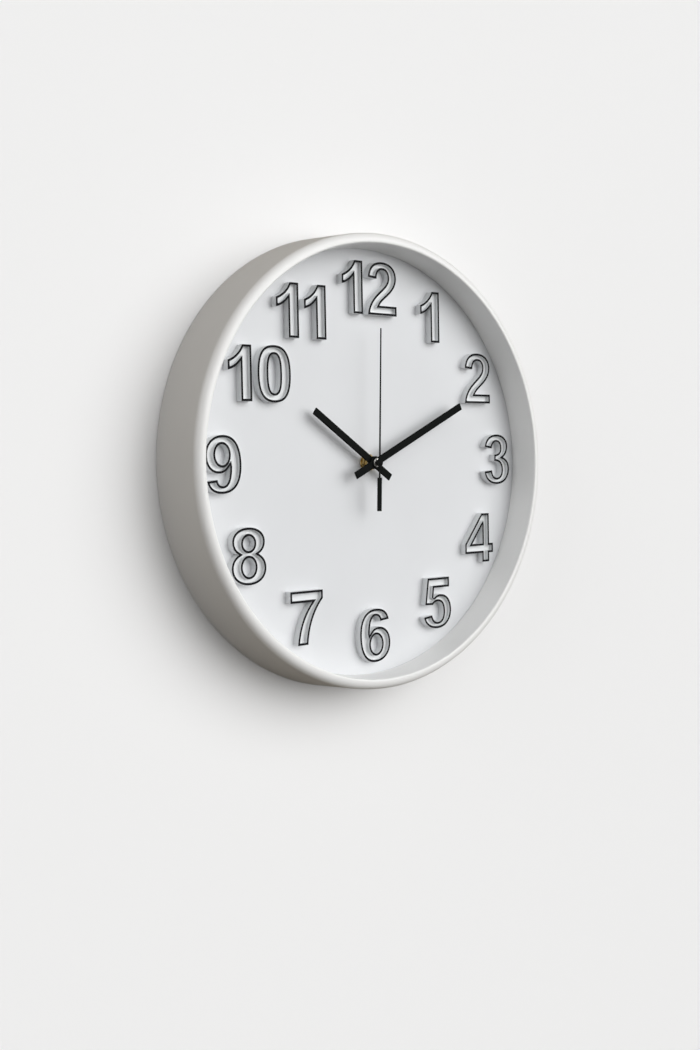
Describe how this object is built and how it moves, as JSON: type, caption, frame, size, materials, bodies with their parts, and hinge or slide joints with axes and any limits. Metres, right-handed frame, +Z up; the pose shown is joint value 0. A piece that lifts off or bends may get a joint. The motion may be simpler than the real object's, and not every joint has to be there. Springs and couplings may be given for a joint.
{
  "type": "wall clock",
  "caption": "Round wall clock with a deep moulded case, raised numerals, three hands and a battery quartz movement that hangs on a keyhole plate.",
  "frame": {"origin": "on the hand arbor, in the plane of the wall, which is the plane of the case's back edge", "axes": "-Y the way the dial faces, +Y into the wall, +Z up to twelve o'clock, +X to three o'clock"},
  "size_m": [0.304, 0.042, 0.304],
  "materials": {
    "case_white": "smooth moulded, soft gloss",
    "dial_white": "fine matt moulded",
    "numeral_white": "matt white with black rims",
    "zinc_steel": "zinc plated",
    "movement_black": "spark-eroded black",
    "natural_plastic": "natural moulded",
    "brass": "turned",
    "rubber": "matt",
    "board_green": "solder mask",
    "chip_black": "epoxy drop",
    "nickel": "nickel plated",
    "copper_wire": "enamelled copper wire",
    "soft_iron": "annealed",
    "battery_wrap": "printed metal can, unmarked",
    "magnet": "ferrite",
    "knob_grey": "moulded",
    "hand_black": "satin black lacquer"
  },
  "bodies": {
    "clock_body": {"case_ring": "case_white", "dial_plate": "dial_white", "dial_screws": "zinc_steel", "numeral_1": "numeral_white", "numeral_2": "numeral_white", "numeral_3": "numeral_white", "numeral_4": "numeral_white", "numeral_5": "numeral_white", "numeral_6": "numeral_white", "numeral_7": "numeral_white", "numeral_8": "numeral_white", "numeral_9": "numeral_white", "numeral_10": "numeral_white", "numeral_11": "numeral_white", "numeral_12": "numeral_white", "movement_front": "movement_black", "movement_back": "movement_black", "train_plate": "natural_plastic", "threaded_bush": "brass", "rubber_washer": "rubber", "brass_washer": "brass", "dial_nut": "brass", "hanger": "zinc_steel", "hanger_screws": "zinc_steel", "circuit_board": "board_green", "clock_chip": "chip_black", "crystal": "nickel", "coil_bobbin": "natural_plastic", "coil_winding": "copper_wire", "coil_core": "soft_iron", "stator": "soft_iron", "contact_positive": "nickel", "contact_negative": "nickel"},
    "battery": {"battery": "battery_wrap"},
    "seconds": {"seconds_wheel": "natural_plastic", "second_hand": "hand_black", "second_hub": "nickel"},
    "intermediate": {"intermediate_wheel": "natural_plastic"},
    "rotor": {"rotor_magnet": "magnet", "rotor_pinion": "natural_plastic"},
    "third": {"third_wheel": "natural_plastic"},
    "minutes": {"centre_wheel": "natural_plastic", "cannon_pinion": "nickel", "minute_hand": "hand_black", "minute_collar": "nickel"},
    "motion": {"motion_wheel": "natural_plastic", "setting_knob": "knob_grey"},
    "hours": {"hour_wheel": "natural_plastic", "hour_hand": "hand_black", "hour_collar": "nickel"}
  },
  "joints": [
    {"name": "second_turn", "type": "hinge", "parent": "clock_body", "child": "seconds", "pos_m": [0, 0, 0], "axis": [0, 1, 0], "continuous": true},
    {"name": "intermediate_turn", "type": "hinge", "parent": "clock_body", "child": "intermediate", "pos_m": [0.00804, 0, -0.00142], "axis": [0, 1, 0], "continuous": true},
    {"name": "rotor_turn", "type": "hinge", "parent": "clock_body", "child": "rotor", "pos_m": [0.01488, 0, -0.00391], "axis": [0, 1, 0], "continuous": true},
    {"name": "third_turn", "type": "hinge", "parent": "clock_body", "child": "third", "pos_m": [0.00612, 0, 0.0106], "axis": [0, 1, 0], "continuous": true},
    {"name": "minute_turn", "type": "hinge", "parent": "clock_body", "child": "minutes", "pos_m": [0, 0, 0], "axis": [0, 1, 0], "continuous": true},
    {"name": "motion_turn", "type": "hinge", "parent": "clock_body", "child": "motion", "pos_m": [-0.01039, 0, 0.006], "axis": [0, 1, 0], "continuous": true},
    {"name": "hour_turn", "type": "hinge", "parent": "clock_body", "child": "hours", "pos_m": [0, 0, 0], "axis": [0, 1, 0], "continuous": true},
    {"name": "battery_slide", "type": "slide", "parent": "clock_body", "child": "battery", "axis": [0, 1, 0], "range_m": [0, 0.017]}
  ],
  "couplings": [
    {"joint": "intermediate_turn", "follows": "second_turn", "ratio": -5},
    {"joint": "rotor_turn", "follows": "second_turn", "ratio": 30},
    {"joint": "third_turn", "follows": "second_turn", "ratio": -0.13333},
    {"joint": "minute_turn", "follows": "second_turn", "ratio": 0.016667},
    {"joint": "motion_turn", "follows": "second_turn", "ratio": -0.0055556},
    {"joint": "hour_turn", "follows": "second_turn", "ratio": 0.0013889}
  ]
}
